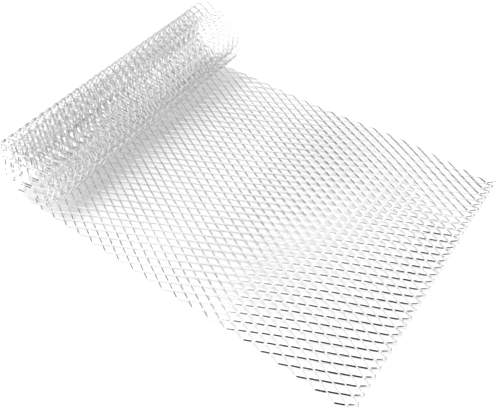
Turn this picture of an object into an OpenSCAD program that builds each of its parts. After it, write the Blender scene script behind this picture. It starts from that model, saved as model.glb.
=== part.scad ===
// A sheet of aluminium expanded mesh, sold as a roll. One end is still wound up and the rest
// lies out on the floor in front of it. X runs across the sheet, Y from the cut front edge
// towards the roll, and Z up from the floor. The origin is on the floor, under the middle.

/* [Mesh] */
// Pitch of the openings across the sheet
short_way = 10.3; // [8:0.1:14]
// Pitch of the openings along the sheet
long_way = 20; // [16:0.5:22]
// Number of openings across the sheet
openings_across = 32; // [12:1:40]
// Width of one strand
strand_w = 1.4; // [1:0.1:2]
// Length of the solid knuckle where two strands meet
knuckle_l = 2; // [1:0.1:4]
// Depth of the mesh, over its raised strands
mesh_t = 2.3; // [1:0.1:3]

/* [Laid-out stretch] */
// Number of openings from the front edge to the roll
openings_laid = 20; // [12:1:28]
// Height that the front edge curls up to
curl_h = 5; // [0:0.5:6]
// Distance along the sheet over which the front edge curls up
curl_l = 15; // [14:1:60]
// Height of the shallow waves that are left from the winding
wave_h = 8; // [0:0.5:12]
// Length of one shallow wave
wave_l = 260; // [180:10:360]

/* [Roll] */
// Number of openings wound up, along the sheet
openings_rolled = 30; // [12:1:34]
// Diameter over the outer turn
roll_d = 98; // [86:1:120]
// Distance from one turn to the next
turn_pitch = 8; // [4:0.25:10]

/* [Hidden] */
BAYS = 4;
sheet_w = openings_across * short_way;
half_short = short_way / 2;
half_long = long_way / 2;
laid_steps = 2 * openings_laid;
roll_steps = 2 * openings_rolled;
laid_l = laid_steps * half_long;

// The sheet bends only at its knuckles, so its side view is a chain of straight steps, each
// half an opening long. The waves fade out towards the roll.
function curl(s) = curl_h * pow(max(0, 1 - s / curl_l), 2);
function fade(s) = max(0, 1 - s / laid_l);
function wave(s) = wave_h * fade(s) * (1 - cos(360 * s / wave_l)) / 2;
function lift(s) = curl(s) + wave(s);
function rise(k) = lift((k + 1) * half_long) - lift(k * half_long);
function run(k) = sqrt(half_long * half_long - rise(k) * rise(k));
laid_path = [
    for (k = 0, y = 0; k <= laid_steps; y = y + run(k), k = k + 1) [y, lift(k * half_long)]
];

// Each step of the roll turns by the angle that its chord spans at the radius it lies on.
roll_r = (roll_d - mesh_t) / 2;
function turn(r) = 2 * asin(half_long / 2 / r);
roll_path = [
    for (
        k = 0, r = roll_r, a = 0, p = laid_path[laid_steps];
        k <= roll_steps;
        p = p + half_long * [cos(a), sin(a)],
        a = a + turn(r),
        r = r - turn_pitch * turn(r) / 360,
        k = k + 1
    ) p
];

// Points of a path moved sideways by d, with a mitre at each bend
function normal(a, b) = [a[1] - b[1], b[0] - a[0]] / norm(b - a);
function mitre(n1, n2) = (n1 + n2) / (1 + n1 * n2);
function side(path, d) = [
    for (i = [0:len(path) - 1])
        let (n1 = i == 0 ? [0, 1] : normal(path[i - 1], path[i]))
        let (n2 = i == len(path) - 1 ? n1 : normal(path[i], path[i + 1]))
        path[i] + d * (i == 0 ? n1 : mitre(n1, n2))
];
function reversed(list) = [for (i = [len(list) - 1:-1:0]) list[i]];
function band(path) = concat(side(path, -mesh_t / 2), reversed(side(path, mesh_t / 2)));

roll_band = band(roll_path);
floor_z = min([for (p = concat(roll_band, side(laid_path, -mesh_t / 2))) p[1]]);
back_y = max([for (p = roll_band) p[0]]);

module placed() {
    translate([-sheet_w / 2, -back_y / 2, -floor_z]) children();
}

// A side view in Y and Z, carried across the sheet's whole width
module across() {
    rotate([90, 0, 90]) linear_extrude(height = sheet_w) children();
}

module roll() {
    color("gainsboro") placed() across() polygon(roll_band);
}

// The laid-out path runs on by one step at each end, past the bays that are cut from it
module laid_slab() {
    before = [laid_path[0] - [half_long, 0]];
    across() polygon(band(concat(before, laid_path, [roll_path[1]])));
}

function plan_y(k) = k < 0 ? -half_long : k > laid_steps ? roll_path[1][0] : laid_path[k][0];

// One six-sided opening in plan, between the knuckles before and after step k
module opening(k) {
    y = plan_y(k);
    reach = half_short - strand_w;
    half_knuckle = knuckle_l / 2;
    polygon([
        [0, plan_y(k - 1) + half_knuckle], [reach, y - half_knuckle], [reach, y + half_knuckle],
        [0, plan_y(k + 1) - half_knuckle], [-reach, y + half_knuckle], [-reach, y - half_knuckle]
    ]);
}

module mesh_plan(first, last) {
    difference() {
        translate([0, plan_y(first)]) square([sheet_w, plan_y(last) - plan_y(first)]);
        for (k = [first:last]) {
            for (column = [(k + 1) % 2:2:2 * openings_across]) {
                translate([column * half_short, 0]) opening(k);
            }
        }
    }
}

// The laid-out mesh is cut into bays of whole openings, which meet at their knuckles
module laid_bay(number) {
    first = 2 * floor((number - 1) * openings_laid / BAYS);
    last = 2 * floor(number * openings_laid / BAYS);
    color("silver") placed() intersection() {
        laid_slab();
        translate([0, 0, -mesh_t]) {
            linear_extrude(height = curl_h + wave_h + 3 * mesh_t) mesh_plan(first, last);
        }
    }
}

laid_bay(1);  // laid_bay_1
laid_bay(2);  // laid_bay_2
laid_bay(3);  // laid_bay_3
laid_bay(4);  // laid_bay_4
roll();
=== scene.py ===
"""Looks of a partly unrolled sheet of raised expanded aluminium mesh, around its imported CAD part.

The mesh is made of ribbons that zigzag along the sheet. Each ribbon lies tilted and is joined to
its neighbours at the knuckles, as slit and stretched plate is. One Geometry Nodes tree bends the
ribbons along the sheet's side view, for the laid-out stretch and for the roll alike.

Such metal shows what it mirrors. So the studio has dark zones in its sky, and dark screens, which
are there for the metal alone: the camera, the floor and the shadows don't see them.
"""

import logging
import math
from dataclasses import dataclass, field
from enum import Enum

import bpy
from mathutils import Matrix, Vector

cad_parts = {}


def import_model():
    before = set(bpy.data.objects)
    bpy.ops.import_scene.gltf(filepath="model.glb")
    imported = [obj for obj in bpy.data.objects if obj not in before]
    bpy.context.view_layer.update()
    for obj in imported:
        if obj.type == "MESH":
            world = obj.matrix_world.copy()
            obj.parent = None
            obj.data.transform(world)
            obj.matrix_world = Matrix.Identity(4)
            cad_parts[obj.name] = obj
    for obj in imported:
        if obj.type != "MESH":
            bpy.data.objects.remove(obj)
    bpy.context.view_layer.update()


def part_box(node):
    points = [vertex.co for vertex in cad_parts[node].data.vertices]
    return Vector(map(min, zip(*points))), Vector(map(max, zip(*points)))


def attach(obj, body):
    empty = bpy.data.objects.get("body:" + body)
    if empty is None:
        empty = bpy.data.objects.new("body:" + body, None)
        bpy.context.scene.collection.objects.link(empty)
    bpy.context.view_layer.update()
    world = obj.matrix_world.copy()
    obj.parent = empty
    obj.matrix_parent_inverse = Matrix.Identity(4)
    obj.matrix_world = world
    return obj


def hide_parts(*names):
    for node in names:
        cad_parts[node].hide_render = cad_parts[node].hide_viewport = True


LOG = logging.getLogger("mesh_sheet")
MM = 0.001
WHITE = (1.0, 1.0, 1.0, 1.0)

Span = tuple[float, float]
Place = tuple[float, float, float]
Colour = tuple[float, float, float]


class Term:
    """A socket of a node tree, with arithmetic that adds Math nodes to the tree."""

    def __init__(self, graph: "Graph", socket: bpy.types.NodeSocket) -> None:
        """Keeps the socket and the graph that it belongs to."""
        self.graph = graph
        self.socket = socket

    def math(self, operation: str, *others: "Term | float") -> "Term":
        """Adds a Math node.

        Args:
            operation: The node's operation.
            others: Its second and third values.

        Returns:
            The node's result.
        """
        values = dict(enumerate((self, *others)))
        return self.graph.node("ShaderNodeMath", {"operation": operation}, values)["Value"]

    def __add__(self, other: "Term | float") -> "Term":
        """Sum."""
        return self.math("ADD", other)

    def __radd__(self, other: float) -> "Term":
        """Sum, with the number first."""
        return self.math("ADD", other)

    def __sub__(self, other: "Term | float") -> "Term":
        """Difference."""
        return self.math("SUBTRACT", other)

    def __rsub__(self, other: float) -> "Term":
        """Difference, with the number first."""
        return (self * -1.0).math("ADD", other)

    def __mul__(self, other: "Term | float") -> "Term":
        """Product."""
        return self.math("MULTIPLY", other)

    def __rmul__(self, other: float) -> "Term":
        """Product, with the number first."""
        return self.math("MULTIPLY", other)

    def __truediv__(self, other: "Term | float") -> "Term":
        """Quotient."""
        return self.math("DIVIDE", other)

    def __mod__(self, other: float) -> "Term":
        """Remainder, never negative."""
        return self.math("FLOORED_MODULO", other)

    def __gt__(self, other: "Term | float") -> "Term":
        """1 where this is the greater one, and 0 elsewhere."""
        return self.math("GREATER_THAN", other)

    def __lt__(self, other: "Term | float") -> "Term":
        """1 where this is the lesser one, and 0 elsewhere."""
        return self.math("LESS_THAN", other)

    def floor(self) -> "Term":
        """The whole number below."""
        return self.math("FLOOR")

    def is_number(self, number: float, tolerance: float = 0.25) -> "Term":
        """1 where this is the given whole number, and 0 elsewhere."""
        return self.math("COMPARE", number, tolerance)


class Outputs:
    """The output sockets of a node, by name."""

    def __init__(self, graph: "Graph", node: bpy.types.Node) -> None:
        """Keeps the node and its graph."""
        self.graph = graph
        self.node = node

    def __getitem__(self, name: "str | int") -> Term:
        """The output of that name or number."""
        return Term(self.graph, self.node.outputs[name])


class Graph:
    """A node tree that is filled by calls."""

    def __init__(self, tree: bpy.types.NodeTree) -> None:
        """Keeps the tree."""
        self.tree = tree

    def node(self, kind: str, settings: dict | None = None, values: dict | None = None) -> Outputs:
        """Adds one node.

        Args:
            kind: The node's type.
            settings: Its settings, which are set first.
            values: Its sockets' values or links, by name or number.

        Returns:
            The node's outputs.
        """
        made = self.tree.nodes.new(kind)
        for name, value in (settings or {}).items():
            setattr(made, name, value)
        for name, value in (values or {}).items():
            for one in value if isinstance(value, list) else [value]:
                if isinstance(one, Term):
                    self.tree.links.new(one.socket, made.inputs[name])
                else:
                    made.inputs[name].default_value = one
        return Outputs(self, made)

    def vector(self, x: "Term | float", y: "Term | float", z: "Term | float") -> Term:
        """A vector from its three parts."""
        return self.node("ShaderNodeCombineXYZ", None, {0: x, 1: y, 2: z})["Vector"]

    def parts(self, vector: Term) -> tuple[Term, Term, Term]:
        """The three parts of a vector."""
        split = self.node("ShaderNodeSeparateXYZ", None, {0: vector})
        return split["X"], split["Y"], split["Z"]

    def blend(self, factor: "Term | float", first: Colour, second: Colour) -> Term:
        """A colour between two colours.

        Args:
            factor: 0 for the first, 1 for the second.
            first: One colour.
            second: The other.

        Returns:
            The colour.
        """
        settings = {"data_type": "RGBA", "clamp_factor": True}
        values = {0: factor, 6: (*first, 1.0), 7: (*second, 1.0)}
        return self.node("ShaderNodeMix", settings, values)[2]

    def smooth(self, value: Term, low: float, high: float) -> Term:
        """An even curve from 0 to 1.

        Args:
            value: What it is worked out from.
            low: The value up to which the result is 0.
            high: The value from which on it is 1.

        Returns:
            The result.
        """
        settings = {"interpolation_type": "SMOOTHSTEP"}
        values = {"Value": value, "From Min": low, "From Max": high}
        return self.node("ShaderNodeMapRange", settings, values)["Result"]

    def noise(self, place: Term, scale: float, detail: float) -> Outputs:
        """Even noise over a place, as a number from 0 to 1 or as a colour."""
        values = {"Vector": place, "Scale": scale, "Detail": detail}
        return self.node("ShaderNodeTexNoise", {"noise_dimensions": "3D"}, values)

    def glow(self, level: "Term | float") -> Term:
        """A surface that gives white light."""
        values = {"Color": WHITE, "Strength": level}
        return self.node("ShaderNodeEmission", None, values)["Emission"]

    def surface(self, shader: Term) -> None:
        """Makes a shader the material's surface."""
        self.node("ShaderNodeOutputMaterial", None, {"Surface": shader})


def new_object(name: str, data: bpy.types.ID) -> bpy.types.Object:
    """Adds an object to the scene.

    Args:
        name: Its name.
        data: Its mesh, lamp or camera.

    Returns:
        The object.
    """
    made = bpy.data.objects.new(name, data)
    bpy.context.scene.collection.objects.link(made)
    return made


def new_material(name: str) -> tuple[bpy.types.Material, Graph]:
    """Makes a material whose nodes are still to come.

    Args:
        name: Its name.

    Returns:
        The material, and its empty tree.
    """
    material = bpy.data.materials.new(name)
    material.use_nodes = True
    material.node_tree.nodes.clear()
    return material, Graph(material.node_tree)


@dataclass(frozen=True)
class MeshGauge:
    """Sizes of the expanded mesh, in metres and radians."""

    short_way: float = 10.3 * MM
    long_way: float = 20.0 * MM
    openings_across: int = 32
    strand_w: float = 1.4 * MM
    plate_t: float = 0.9 * MM
    knuckle_l: float = 2.0 * MM
    tilt: float = math.radians(34.0)

    @property
    def depth(self) -> float:
        """Depth of the mesh over its raised strands."""
        return 2 * self.strand_w * math.sin(self.tilt) + self.plate_t * math.cos(self.tilt)

    @property
    def half_step(self) -> float:
        """Distance along the sheet from one row of knuckles to the next."""
        return self.long_way / 2

    @property
    def strand_widening(self) -> float:
        """Width of a slanting strand, measured straight across the sheet, over its real width."""
        sideways = self.short_way / 2 - self.strand_w * math.cos(self.tilt)
        return math.hypot(1.0, sideways / (self.half_step - self.knuckle_l))


@dataclass
class SheetPath:
    """Side view of the sheet in Y and Z: shallow waves, then a roll whose turns draw in."""

    gauge: MeshGauge
    openings_laid: int = 20
    curl_h: float = 5.0 * MM
    curl_l: float = 15.0 * MM
    wave_h: float = 8.0 * MM
    wave_l: float = 260.0 * MM
    openings_rolled: int = 30
    roll_d: float = 98.0 * MM
    turn_pitch: float = 8.0 * MM
    spacing: float = 1.0 * MM

    @property
    def laid_l(self) -> float:
        """Length of the sheet that lies out."""
        return self.openings_laid * self.gauge.long_way

    @property
    def rolled_l(self) -> float:
        """Length of the sheet that is wound up."""
        return self.openings_rolled * self.gauge.long_way

    def lift(self, s: float) -> float:
        """Height of the laid-out sheet over its lowest place.

        Args:
            s: Distance along the sheet from its front edge.

        Returns:
            The height there.
        """
        curl = self.curl_h * max(0.0, 1 - s / self.curl_l) ** 2
        fade = max(0.0, 1 - s / self.laid_l)
        return curl + self.wave_h * fade * (1 - math.cos(2 * math.pi * s / self.wave_l)) / 2

    def laid_points(self, start_y: float) -> list[Vector]:
        """Points along the laid-out stretch.

        Args:
            start_y: Place of the front edge.

        Returns:
            The points, evenly spaced along the sheet.
        """
        ground = self.gauge.depth / 2
        y = start_y
        points = [Vector((0.0, y, ground + self.lift(0.0)))]
        for i in range(round(self.laid_l / self.spacing)):
            rise = self.lift((i + 1) * self.spacing) - self.lift(i * self.spacing)
            y += math.sqrt(self.spacing**2 - rise**2)
            points.append(Vector((0.0, y, points[-1].z + rise)))
        return points

    def rolled_points(self, start: Vector) -> list[Vector]:
        """Points along the wound stretch, after its first one.

        Args:
            start: The point where the laid-out stretch ends.

        Returns:
            The points, evenly spaced along the sheet.
        """
        points = [start]
        radius = (self.roll_d - self.gauge.depth) / 2
        heading = 0.0
        # The CAD model's first step is straight, so the curve starts in the middle of it.
        straight_l = self.gauge.half_step / 2
        for i in range(round(self.rolled_l / self.spacing)):
            step = Vector((0.0, math.cos(heading), math.sin(heading))) * self.spacing
            points.append(points[-1] + step)
            if i * self.spacing >= straight_l:
                turn = 2 * math.asin(self.spacing / 2 / radius)
                heading += turn
                radius -= self.turn_pitch * turn / (2 * math.pi)
        return points[1:]

    def points(self, start_y: float) -> list[Vector]:
        """Points along the whole sheet, from its front edge at start_y to its wound end."""
        laid = self.laid_points(start_y)
        return laid + self.rolled_points(laid[-1])


class ColumnSide(Enum):
    """What a ribbon has on its left: a column with a knuckle on the front edge, or one without."""

    WITH_KNUCKLE = 0
    WITHOUT_KNUCKLE = 1


@dataclass
class RibbonTree:
    """The Geometry Nodes tree that bends the mesh's ribbons along a path.

    A ribbon is a chain of sections with four corners. bend_near_ends draws the sections of a
    strand towards its ends. end_margin is the share of a strand's length that counts as its end,
    and edge_margin is the share of a column's width that counts as the sheet's edge.
    """

    strand_parts: int = 4
    corners: int = 4
    cap_rings: int = 2
    merge_distance: float = 0.002 * MM
    bend_near_ends: float = 0.14
    end_margin: float = 0.01
    edge_margin: float = 0.25
    ripple_scale: float = 28.0
    ripple_detail: float = 2.0
    ripple_middle: Place = (0.5, 0.5, 0.25)
    sockets: tuple[tuple[str, str], ...] = (
        ("Short Way", "NodeSocketFloat"),
        ("Half Step", "NodeSocketFloat"),
        ("Columns", "NodeSocketInt"),
        ("Strand Width", "NodeSocketFloat"),
        ("Strand Widening", "NodeSocketFloat"),
        ("Plate Thickness", "NodeSocketFloat"),
        ("Tilt", "NodeSocketFloat"),
        ("Knuckle Length", "NodeSocketFloat"),
        ("First Step", "NodeSocketInt"),
        ("Steps", "NodeSocketInt"),
        ("Ripple", "NodeSocketFloat"),
        ("Finish", "NodeSocketMaterial"),
    )

    @property
    def per_step(self) -> int:
        """Number of sections from one knuckle to the next: the strand's parts and a knuckle."""
        return self.strand_parts + 2

    def build(self) -> bpy.types.NodeTree:
        """Makes the tree.

        Returns:
            The tree, whose input geometry is the path.
        """
        tree = bpy.data.node_groups.new("raised_mesh", "GeometryNodeTree")
        tree.interface.new_socket(name="Path", in_out="INPUT", socket_type="NodeSocketGeometry")
        for name, kind in self.sockets:
            tree.interface.new_socket(name=name, in_out="INPUT", socket_type=kind)
        tree.interface.new_socket(name="Mesh", in_out="OUTPUT", socket_type="NodeSocketGeometry")
        graph = Graph(tree)
        given = graph.node("NodeGroupInput")
        path = graph.node("GeometryNodeMeshToCurve", None, {0: given["Path"]})["Curve"]
        ribbons = [self.row_of_ribbons(graph, given, path, side) for side in ColumnSide]
        joined = graph.node("GeometryNodeJoinGeometry", None, {0: ribbons})["Geometry"]

        # The instances are made real before the end, because the knuckles join them.
        plain = graph.node("GeometryNodeRealizeInstances", None, {"Geometry": joined})["Geometry"]
        fused = self.fuse(graph, given, plain)
        shaped = self.ripple(graph, given, fused)
        values = {"Geometry": shaped, "Material": given["Finish"]}
        dressed = graph.node("GeometryNodeSetMaterial", None, values)["Geometry"]
        graph.node("NodeGroupOutput", None, {"Mesh": dressed})
        return tree

    def row_of_ribbons(self, graph: Graph, given: Outputs, path: Term, side: ColumnSide) -> Term:
        """Puts every second ribbon in its place across the sheet.

        Args:
            graph: The tree.
            given: The tree's inputs.
            path: The side view, as a curve.
            side: Which half of the ribbons.

        Returns:
            Instances of one ribbon.
        """
        short_way = given["Short Way"]
        start = (side.value - given["Columns"]) * (short_way / 2)
        values = {
            "Count": given["Columns"],
            "Start Location": graph.vector(start, 0.0, 0.0),
            "Offset": graph.vector(short_way, 0.0, 0.0),
        }
        line = graph.node("GeometryNodeMeshLine", {"mode": "OFFSET"}, values)["Mesh"]
        values = {"Points": line, "Instance": self.ribbon(graph, given, path, side)}
        return graph.node("GeometryNodeInstanceOnPoints", None, values)["Instances"]

    def ribbon(self, graph: Graph, given: Outputs, path: Term, side: ColumnSide) -> Term:
        """One ribbon, whose sections step along the path from knuckle to knuckle.

        Args:
            graph: The tree.
            given: The tree's inputs.
            path: The side view, as a curve.
            side: Which half of the ribbons it is for.

        Returns:
            A closed mesh, with its cut faces and its knuckle faces marked.
        """
        ring_points = self.corners + 1
        last = given["Steps"] * self.per_step
        index = graph.node("GeometryNodeInputIndex")["Index"]
        count = last + 1 + self.cap_rings
        values = {"Vertices X": count, "Vertices Y": ring_points}
        flat = graph.node("GeometryNodeMeshGrid", None, values)["Mesh"]
        grid = self.mark_faces(graph, given, flat, side)

        # The first and the last ring shrink to a point, which closes the ribbon's ends.
        ring = (index / ring_points).floor()
        section = (ring - 1.0).math("MAXIMUM", 0.0).math("MINIMUM", last)
        inside = (ring > 0.5) * (ring < last + 1.5)

        # Each step starts in the middle of a knuckle. Its other sections follow the strand, and
        # they stand closer together near its ends, where the strand bends.
        step = (section / self.per_step).floor()
        part = section - step * self.per_step
        even = (part - 1.0).math("MAXIMUM", 0.0) / self.strand_parts
        along = even - self.bend_near_ends * (even * (2 * math.pi)).math("SINE")
        half_knuckle = given["Knuckle Length"] / 2
        free = given["Half Step"] - given["Knuckle Length"]
        beyond = (part > 0.5) * (half_knuckle + along * free)
        s = (given["First Step"] + step) * given["Half Step"] + beyond

        # The strand runs from left to right or back, and it is wider where it slants.
        across = along + self.turned(given, step, side) * (1.0 - 2.0 * along)
        slants = (along > self.end_margin) * (along < 1.0 - self.end_margin)
        widening = 1.0 + slants * (given["Strand Widening"] - 1.0)

        # The four corners of a section, turned by the tilt. The last point repeats the first.
        corner = (index % ring_points) % self.corners
        right = (corner > 0.5) * (corner < 2.5)
        top = corner > 1.5
        wide = (right - 0.5) * inside * given["Strand Width"] * widening
        thick = (top - 0.5) * inside * given["Plate Thickness"]
        cosine = given["Tilt"].math("COSINE")
        sine = given["Tilt"].math("SINE")
        half_w = given["Strand Width"] / 2
        slack = given["Short Way"] / 2 - given["Strand Width"] * cosine
        x = half_w * cosine + slack * across + wide * cosine - thick * sine
        n = half_w * sine * (1.0 - 2.0 * across) + wide * sine + thick * cosine

        position = self.on_path(graph, path, half_knuckle, (x, n, s))
        values = {"Geometry": grid, "Position": position}
        bent = graph.node("GeometryNodeSetPosition", None, values)["Geometry"]
        return self.merged(graph, bent)

    def turned(self, given: Outputs, step: Term, side: ColumnSide) -> Term:
        """1 in the steps where the ribbon runs from right to left, and 0 in the others."""
        return (given["First Step"] + step + side.value) % 2.0

    def on_path(
        self, graph: Graph, path: Term, reach: Term, place: tuple[Term, Term, Term]
    ) -> Term:
        """Places a point by its distance along the path and its height over it.

        Args:
            graph: The tree.
            path: The side view, as a curve.
            reach: Distance over which the path's slope is taken, to each side.
            place: Distance across the sheet, height over the path, and distance along the path.

        Returns:
            The point's position.
        """

        def sample(distance: Term) -> tuple[Term, Term, Term]:
            """Finds a point of the path.

            Args:
                distance: Its distance along the path.

            Returns:
                Its X, Y and Z.
            """
            values = {"Curves": path, "Length": distance}
            found = graph.node("GeometryNodeSampleCurve", {"mode": "LENGTH"}, values)
            return graph.parts(found["Position"])

        x, n, s = place
        ahead, here, behind = sample(s + reach), sample(s), sample(s - reach)
        run = ahead[1] - behind[1]
        rise = ahead[2] - behind[2]
        length = (run * run + rise * rise).math("SQRT")
        return graph.vector(x, here[1] - n * rise / length, here[2] + n * run / length)

    def mark_faces(self, graph: Graph, given: Outputs, flat: Term, side: ColumnSide) -> Term:
        """Marks the faces that the slitting knife cut, and those that lie inside a knuckle.

        Args:
            graph: The tree.
            given: The tree's inputs.
            flat: The ribbon's grid.
            side: Which half of the ribbons it is for.

        Returns:
            The grid, with the attributes cut and joined on its faces.
        """
        index = graph.node("GeometryNodeInputIndex")["Index"]
        face = index % self.corners
        section = (index / self.corners).floor() - 1.0
        step = (section / self.per_step).floor()
        part = section - step * self.per_step

        # The faces are 0 below, 1 on the right, 2 above and 3 on the left. A ribbon leaves one
        # knuckle on its left and arrives at the next one on its right, or the reverse if turned.
        right, left = 1.0, 3.0
        swap = (left - right) * self.turned(given, step, side)
        leaving = part.is_number(0.0) * (face + swap).is_number(left)
        arriving = part.is_number(self.per_step - 1.0) * (face - swap).is_number(right)
        within = (section > -0.5) * (section < given["Steps"] * self.per_step)
        marks = {"cut": face % 2.0, "joined": within * (leaving + arriving)}
        for name, value in marks.items():
            settings = {"data_type": "FLOAT", "domain": "FACE"}
            values = {"Geometry": flat, "Name": name, "Value": value}
            flat = graph.node("GeometryNodeStoreNamedAttribute", settings, values)["Geometry"]
        return flat

    def merged(self, graph: Graph, mesh: Term) -> Term:
        """A mesh whose points that fall together are one."""
        values = {"Geometry": mesh, "Distance": self.merge_distance}
        return graph.node("GeometryNodeMergeByDistance", None, values)["Geometry"]

    def fuse(self, graph: Graph, given: Outputs, plain: Term) -> Term:
        """Opens the ribbons where they meet inside a knuckle, and joins them there.

        Args:
            graph: The tree.
            given: The tree's inputs.
            plain: All the ribbons.

        Returns:
            One closed mesh.
        """
        settings = {"data_type": "FLOAT"}
        joined = graph.node("GeometryNodeInputNamedAttribute", settings, {"Name": "joined"})
        x = graph.parts(graph.node("GeometryNodeInputPosition")["Position"])[0]

        # The knuckles along the sheet's two long edges have no neighbour and stay closed.
        edge = (given["Columns"] - self.edge_margin) * (given["Short Way"] / 2)
        chosen = joined["Attribute"] * (x.math("ABSOLUTE") < edge)
        values = {"Geometry": plain, "Selection": chosen}
        open_mesh = graph.node("GeometryNodeDeleteGeometry", {"domain": "FACE"}, values)
        return self.merged(graph, open_mesh["Geometry"])

    def ripple(self, graph: Graph, given: Outputs, fused: Term) -> Term:
        """Moves the mesh by a fraction of a millimetre, as handling leaves it.

        The noise counts from low in its range in Z, so the mesh isn't pushed into the floor.

        Args:
            graph: The tree.
            given: The tree's inputs.
            fused: The mesh.

        Returns:
            The mesh, slightly uneven.
        """
        place = graph.node("GeometryNodeInputPosition")["Position"]
        noise = graph.noise(place, self.ripple_scale, self.ripple_detail)["Color"]
        settings = {"operation": "SUBTRACT"}
        around = graph.node("ShaderNodeVectorMath", settings, {0: noise, 1: self.ripple_middle})
        settings = {"operation": "SCALE"}
        values = {0: around[0], "Scale": given["Ripple"]}
        moved = graph.node("ShaderNodeVectorMath", settings, values)
        values = {"Geometry": fused, "Offset": moved[0]}
        return graph.node("GeometryNodeSetPosition", None, values)["Geometry"]


@dataclass(frozen=True)
class MillAluminium:
    """Bright rolled aluminium, duller where the knife cut it."""

    colour: Colour = (0.95, 0.95, 0.95)
    cut_colour: Colour = (0.93, 0.93, 0.93)
    roughness: float = 0.14
    cut_roughness: float = 0.22
    cloud_scale: float = 45.0
    cloud_detail: float = 3.0
    cloud_range: Span = (0.35, 0.7)
    cloud_tone: float = 0.25
    cloud_roughness: float = 0.08
    grain_scale: float = 900.0
    grain_detail: float = 2.0
    grain_stretch: float = 0.12
    grain_roughness: float = 0.06
    grain_depth: float = 0.02 * MM
    grain_strength: float = 0.6

    def build(self) -> bpy.types.Material:
        """Makes the material.

        Returns:
            A bare metal with faint clouds and a fine grain along the sheet.
        """
        material, graph = new_material("mill_aluminium")
        place = graph.node("ShaderNodeTexCoord")["Object"]
        cut = graph.node("ShaderNodeAttribute", {"attribute_name": "cut"})["Fac"]
        clouds = graph.noise(place, self.cloud_scale, self.cloud_detail)["Fac"]
        stretch = {0: place, 3: (1.0, self.grain_stretch, 1.0)}
        along = graph.node("ShaderNodeMapping", None, stretch)["Vector"]
        grain = graph.noise(along, self.grain_scale, self.grain_detail)["Fac"]
        worn = graph.smooth(clouds, *self.cloud_range)
        tone = cut * (1.0 - self.cloud_tone) + worn * self.cloud_tone
        roughness = self.roughness + (self.cut_roughness - self.roughness) * cut
        uneven = (worn - 0.5) * self.cloud_roughness + (grain - 0.5) * self.grain_roughness
        bump = {"Height": grain, "Distance": self.grain_depth, "Strength": self.grain_strength}
        shader = {
            "Base Color": graph.blend(tone, self.colour, self.cut_colour),
            "Metallic": 1.0,
            "Roughness": roughness + uneven,
            "Normal": graph.node("ShaderNodeBump", None, bump)["Normal"],
        }
        graph.surface(graph.node("ShaderNodeBsdfPrincipled", None, shader)["BSDF"])
        return material


class Stretch(Enum):
    """The two stretches of the sheet, by the names of their pieces."""

    LAID = "laid_mesh"
    ROLLED = "rolled_mesh"


@dataclass
class ExpandedMesh:
    """The whole sheet: the stretch that lies out, and the one that is still wound up."""

    path: SheetPath
    finish: bpy.types.Material
    ripple: float = 0.5 * MM
    crease: float = math.radians(35.0)
    tree: bpy.types.NodeTree = field(init=False)

    def __post_init__(self) -> None:
        """Makes the tree that both stretches use."""
        self.tree = RibbonTree().build()

    def steps(self, stretch: Stretch) -> tuple[int, int]:
        """Finds where a stretch starts and how long it is.

        Args:
            stretch: Which one.

        Returns:
            Its first row of knuckles, and the number of steps from there.
        """
        if stretch is Stretch.LAID:
            return 0, 2 * self.path.openings_laid
        return 2 * self.path.openings_laid, 2 * self.path.openings_rolled

    def inputs(self, stretch: Stretch) -> dict[str, object]:
        """Collects the tree's inputs.

        Args:
            stretch: Which stretch they are for.

        Returns:
            The inputs by name.
        """
        gauge = self.path.gauge
        first, count = self.steps(stretch)
        return {
            "Short Way": gauge.short_way,
            "Half Step": gauge.half_step,
            "Columns": gauge.openings_across,
            "Strand Width": gauge.strand_w,
            "Strand Widening": gauge.strand_widening,
            "Plate Thickness": gauge.plate_t,
            "Tilt": gauge.tilt,
            "Knuckle Length": gauge.knuckle_l,
            "First Step": first,
            "Steps": count,
            "Ripple": self.ripple,
            "Finish": self.finish,
        }

    def path_object(self) -> bpy.types.Object:
        """Makes the side view.

        Returns:
            An object whose mesh is a chain of edges, which the tree reads.
        """
        points = self.path.points(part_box("laid_bay_1")[0].y)
        mesh = bpy.data.meshes.new("sheet_path")
        mesh.from_pydata(points, [(i, i + 1) for i in range(len(points) - 1)], [])
        return new_object("sheet_path", mesh)

    def build(self, stretch: Stretch) -> bpy.types.Object:
        """Makes one stretch of the mesh.

        Args:
            stretch: Which one.

        Returns:
            A plain mesh object in place.
        """
        source = self.path_object()
        modifier = source.modifiers.new("raised mesh", "NODES")
        modifier.node_group = self.tree
        inputs = self.inputs(stretch)
        for item in self.tree.interface.items_tree:
            if item.in_out == "INPUT" and item.name in inputs:
                modifier[item.identifier] = inputs[item.name]
        depsgraph = bpy.context.evaluated_depsgraph_get()
        bent = source.evaluated_get(depsgraph)
        mesh = bpy.data.meshes.new_from_object(bent, depsgraph=depsgraph)
        source.modifiers.remove(modifier)
        bpy.data.objects.remove(source)
        mesh.polygons.foreach_set("use_smooth", [True] * len(mesh.polygons))
        mesh.set_sharp_from_angle(angle=self.crease)
        mesh.name = stretch.value
        return new_object(stretch.value, mesh)

    def dress(self) -> list[bpy.types.Object]:
        """Makes both stretches and lets them stand for their CAD nodes.

        Returns:
            The pieces.
        """
        nodes = {
            Stretch.LAID: ("laid_bay_1", "laid_bay_2", "laid_bay_3", "laid_bay_4"),
            Stretch.ROLLED: ("roll",),
        }
        pieces = []
        for stretch, replaced in nodes.items():
            piece = self.build(stretch)
            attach(piece, "root")
            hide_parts(*replaced)
            pieces.append(piece)
        return pieces


def flat_object(name: str, corners: list[Place | Vector]) -> bpy.types.Object:
    """Makes a flat object with one face.

    Args:
        name: Its name.
        corners: Its four corners, in order.

    Returns:
        The object, in the scene.
    """
    mesh = bpy.data.meshes.new(name)
    mesh.from_pydata(corners, [], [(0, 1, 2, 3)])
    return new_object(name, mesh)


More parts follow.
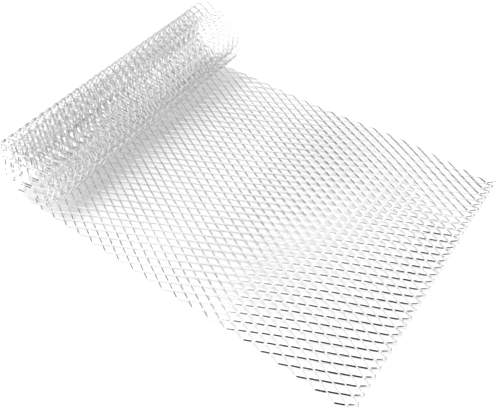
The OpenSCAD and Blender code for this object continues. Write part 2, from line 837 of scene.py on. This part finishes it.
def hang(name: str, corners: list[Place | Vector]) -> Graph:
    """Hangs up a flat screen that only the bare metal mirrors.

    Args:
        name: The screen's name.
        corners: Its four corners, in order.

    Returns:
        The tree of its material, still empty.
    """
    screen = flat_object(name, corners)
    screen.visible_camera = False
    screen.visible_diffuse = False
    screen.visible_shadow = False
    material, graph = new_material(name)
    screen.data.materials.append(material)
    return graph


@dataclass(frozen=True)
class Floor:
    """A wide pale floor that shows white and keeps the shadow.

    The camera and the metal see it with a little light of its own. More of this light is
    painted on towards the sheet's edges and beyond them. It paints the shade at the roll's ends
    lighter, and leaves a painted shade on the floor under the middle of the sheet. The reaches
    say between which places the painted light grows.
    """

    size: float = 12.0
    colour: Colour = (0.85, 0.85, 0.85)
    lift: float = 0.12
    # Painted light, added towards the sheet's edges and beyond them.
    painted_edge_light: float = 0.22
    front_reach: Span = (-0.26, 0.0)
    back_reach: Span = (0.1, 0.22)
    side_reach: Span = (0.09, 0.19)

    def build(self) -> None:
        """Makes the floor."""
        half = self.size / 2
        corners = [(-half, -half, 0.0), (half, -half, 0.0), (half, half, 0.0), (-half, half, 0.0)]
        floor = flat_object("floor", corners)
        material, graph = new_material("studio_floor")
        matt = graph.node("ShaderNodeBsdfDiffuse", None, {"Color": (*self.colour, 1.0)})["BSDF"]
        x, y, _ = graph.parts(graph.node("ShaderNodeTexCoord")["Object"])
        # Painted light and shade: the floor's own light is weaker under the middle of the sheet in
        # front of the roll, which paints shade there. It is stronger towards the sides and behind
        # the roll, which paints the roll's shade lighter there.
        sides = graph.smooth(x.math("ABSOLUTE"), *self.side_reach)
        back = graph.smooth(y, *self.back_reach)
        middle = graph.smooth(y, *self.front_reach) * (1.0 - back) * (1.0 - sides)
        ray = graph.node("ShaderNodeLightPath")
        seen = ray["Is Camera Ray"] + ray["Is Glossy Ray"]
        glow = graph.glow(seen * (self.lift + self.painted_edge_light * (1.0 - middle)))
        graph.surface(graph.node("ShaderNodeAddShader", None, {0: matt, 1: glow})["Shader"])
        floor.data.materials.append(material)


@dataclass(frozen=True)
class DarkZone:
    """A part of the sky that gives less light.

    Each range limits one part of a direction of length 1.
    """

    x: Span
    y: Span
    z: Span
    level: float
    softness: float = 0.04

    def shade(self, graph: Graph, way: tuple[Term, Term, Term]) -> Term:
        """Works out how much light is left in a direction.

        Args:
            graph: The sky's tree.
            way: The three parts of the direction.

        Returns:
            The level of the light there, which is 1 outside the zone.
        """
        within = 1.0
        for part, (low, high) in zip(way, (self.x, self.y, self.z)):
            above = graph.smooth(part, low - self.softness, low + self.softness)
            below = 1.0 - graph.smooth(part, high - self.softness, high + self.softness)
            within = above * below * within
        return 1.0 - (1.0 - self.level) * within


@dataclass(frozen=True)
class Sky:
    """A white sky, weaker as a light. Only the metal mirrors its dark zones."""

    fill_level: float = 0.38
    mirrored_level: float = 1.03
    zones: tuple[DarkZone, ...] = (
        # These draw the strands as seen from the photograph's side.
        DarkZone(x=(-0.25, 0.33), y=(0.0, 2.0), z=(0.29, 0.85), level=0.2),
        DarkZone(x=(-0.55, -0.2), y=(0.0, 2.0), z=(-0.14, 0.22), level=0.35),
        DarkZone(x=(-0.6, 0.33), y=(0.3, 2.0), z=(0.0, 0.8), level=0.85),
        DarkZone(x=(-0.31, -0.25), y=(0.3, 2.0), z=(0.56, 0.85), level=0.6),
        DarkZone(x=(0.4, 2.0), y=(-2.0, 0.3), z=(0.2, 2.0), level=0.3),
        # These draw them as seen from the other sides.
        DarkZone(x=(-0.4, 0.35), y=(-0.25, 0.25), z=(0.88, 2.0), level=0.4),
        DarkZone(x=(-0.15, 0.8), y=(-2.0, -0.5), z=(0.04, 0.7), level=0.4),
        DarkZone(x=(-0.2, 0.35), y=(0.8, 2.0), z=(0.04, 0.29), level=0.6),
        # This one darkens the roll's end that is nearer to the camera.
        DarkZone(x=(-0.9, -0.62), y=(-2.0, -0.3), z=(-0.1, 0.38), level=0.3),
    )

    def build(self) -> None:
        """Makes the sky."""
        world = bpy.data.worlds.new("studio_sky")
        bpy.context.scene.world = world
        world.use_nodes = True
        world.node_tree.nodes.clear()
        graph = Graph(world.node_tree)
        way = graph.parts(graph.node("ShaderNodeTexCoord")["Generated"])
        mirrored = self.mirrored_level
        for zone in self.zones:
            mirrored = zone.shade(graph, way) * mirrored
        ray = graph.node("ShaderNodeLightPath")
        seen = ray["Is Camera Ray"]
        plain = seen + (1.0 - seen) * self.fill_level
        strength = plain + ray["Is Glossy Ray"] * (mirrored - plain)
        values = {"Color": WHITE, "Strength": strength}
        light = graph.node("ShaderNodeBackground", None, values)["Background"]
        graph.node("ShaderNodeOutputWorld", None, {"Surface": light})


@dataclass(frozen=True)
class KeyLight:
    """A wide soft light from above and a little behind the roll, which the metal doesn't mirror."""

    azimuth: float = math.radians(-20.0)
    elevation: float = math.radians(78.0)
    spread: float = math.radians(40.0)
    power: float = 2.15

    def build(self) -> None:
        """Hangs up the light."""
        data = bpy.data.lights.new("key_light", "SUN")
        data.energy = self.power
        data.angle = self.spread
        lamp = new_object("key_light", data)
        lamp.rotation_euler = (self.elevation - math.pi / 2, 0.0, -self.azimuth)
        lamp.visible_glossy = False


@dataclass(frozen=True)
class BlackCard:
    """A card on the camera's side, black at its foot and fading to white upward."""

    azimuth: float = math.radians(-140.0)
    distance: float = 0.5
    reach: Span = (-0.24, 0.26)
    heights: Span = (0.09, 0.6)
    fade: Span = (0.27, 0.6)
    darkest: float = 0.025

    def build(self, white: float) -> None:
        """Hangs up the card.

        Args:
            white: The level of its light where it has faded to white.
        """
        outward = Vector((math.sin(self.azimuth), math.cos(self.azimuth), 0.0))
        sideways = Vector((-outward.y, outward.x, 0.0))
        bottom, top = (Vector((0.0, 0.0, z)) for z in self.heights)
        near, far = (outward * self.distance + sideways * reach for reach in self.reach)
        graph = hang("black_card", [near + bottom, far + bottom, far + top, near + top])
        height = graph.parts(graph.node("ShaderNodeTexCoord")["Object"])[2]
        low, high = self.fade
        rising = ((height - low) / (high - low)).math("MAXIMUM", 0.0).math("MINIMUM", 1.0)
        graph.surface(graph.glow(rising.math("MAXIMUM", self.darkest) * white))


@dataclass(frozen=True)
class BlackNet:
    """A black net close over the front edge, through which some light comes."""

    reach: Span = (-0.3, 0.055)
    depth: Span = (-0.235, -0.215)
    height: float = 0.03
    level: float = 0.25

    def build(self) -> None:
        """Hangs up the net."""
        left, right = self.reach
        front, back = self.depth
        plan = [(left, front), (right, front), (right, back), (left, back)]
        graph = hang("black_net", [(*corner, self.height) for corner in plan])
        values = {"Color": (self.level, self.level, self.level, 1.0)}
        graph.surface(graph.node("ShaderNodeBsdfTransparent", None, values)["BSDF"])


@dataclass(frozen=True)
class DarkCard:
    """An even dark card that stands on the floor."""

    name: str
    start: tuple[float, float]
    end: tuple[float, float]
    top: float
    level: float

    def build(self) -> None:
        """Stands up the card."""
        foot = [(*self.start, 0.0), (*self.end, 0.0)]
        head = [(*self.end, self.top), (*self.start, self.top)]
        graph = hang(self.name, foot + head)
        graph.surface(graph.glow(self.level))


@dataclass(frozen=True)
class Camera:
    """The camera at the photograph's view."""

    eye: Place = (-361.36 * MM, -270.27 * MM, 504.16 * MM)
    yaw: float = math.radians(52.805)
    pitch: float = math.radians(50.0181)
    roll: float = math.radians(-1.5367)
    focal_px: float = 583.27
    frame_px: float = 500.0
    sensor: float = 36.0
    nearest: float = 10.0 * MM

    def build(self) -> None:
        """Sets up the camera."""
        facing = Vector((math.sin(self.yaw), math.cos(self.yaw), 0.0))
        forward = facing * math.cos(self.pitch) - Vector((0.0, 0.0, math.sin(self.pitch)))
        level = Vector((facing.y, -facing.x, 0.0))
        above = level.cross(forward)
        right = level * math.cos(self.roll) + above * math.sin(self.roll)
        up = above * math.cos(self.roll) - level * math.sin(self.roll)
        turned = Matrix((right, up, -forward)).transposed()
        data = bpy.data.cameras.new("camera")
        data.sensor_fit = "HORIZONTAL"
        data.sensor_width = self.sensor
        data.lens = self.focal_px / self.frame_px * self.sensor
        data.clip_start = self.nearest
        camera = new_object("camera", data)
        camera.matrix_world = Matrix.Translation(Vector(self.eye)) @ turned.to_4x4()
        bpy.context.scene.camera = camera


@dataclass(frozen=True)
class Studio:
    """Pale floor, soft light, the screens that draw the metal, and the camera."""

    floor: Floor = Floor()
    sky: Sky = Sky()
    key_light: KeyLight = KeyLight()
    black_card: BlackCard = BlackCard()
    black_net: BlackNet = BlackNet()
    dark_cards: tuple[DarkCard, ...] = (
        DarkCard("side_card", start=(0.75, -0.3), end=(0.75, 0.7), top=0.35, level=0.45),
        DarkCard("back_card", start=(-0.6, 0.42), end=(0.25, 0.42), top=0.09, level=0.3),
    )
    camera: Camera = Camera()

    def build(self) -> None:
        """Makes all of it."""
        self.floor.build()
        self.sky.build()
        self.key_light.build()
        self.black_card.build(white=self.sky.mirrored_level)
        self.black_net.build()
        for card in self.dark_cards:
            card.build()
        self.camera.build()
        bpy.context.scene.view_settings.view_transform = "Standard"


def report(piece: bpy.types.Object) -> None:
    """Logs a piece's name, number of triangles and size.

    Args:
        piece: The piece.
    """
    mesh = piece.data
    mesh.calc_loop_triangles()
    size = ", ".join(f"{value / MM:.1f}" for value in piece.dimensions)
    LOG.info("%s: %d triangles, %s mm", piece.name, len(mesh.loop_triangles), size)


def main() -> None:
    """Builds the object, then the studio."""
    logging.basicConfig(level=logging.INFO, format="%(name)s: %(message)s")
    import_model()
    path = SheetPath(gauge=MeshGauge())
    sheet = ExpandedMesh(path=path, finish=MillAluminium().build())
    for piece in sheet.dress():
        report(piece)
    Studio().build()


if __name__ == "__main__":
    main()
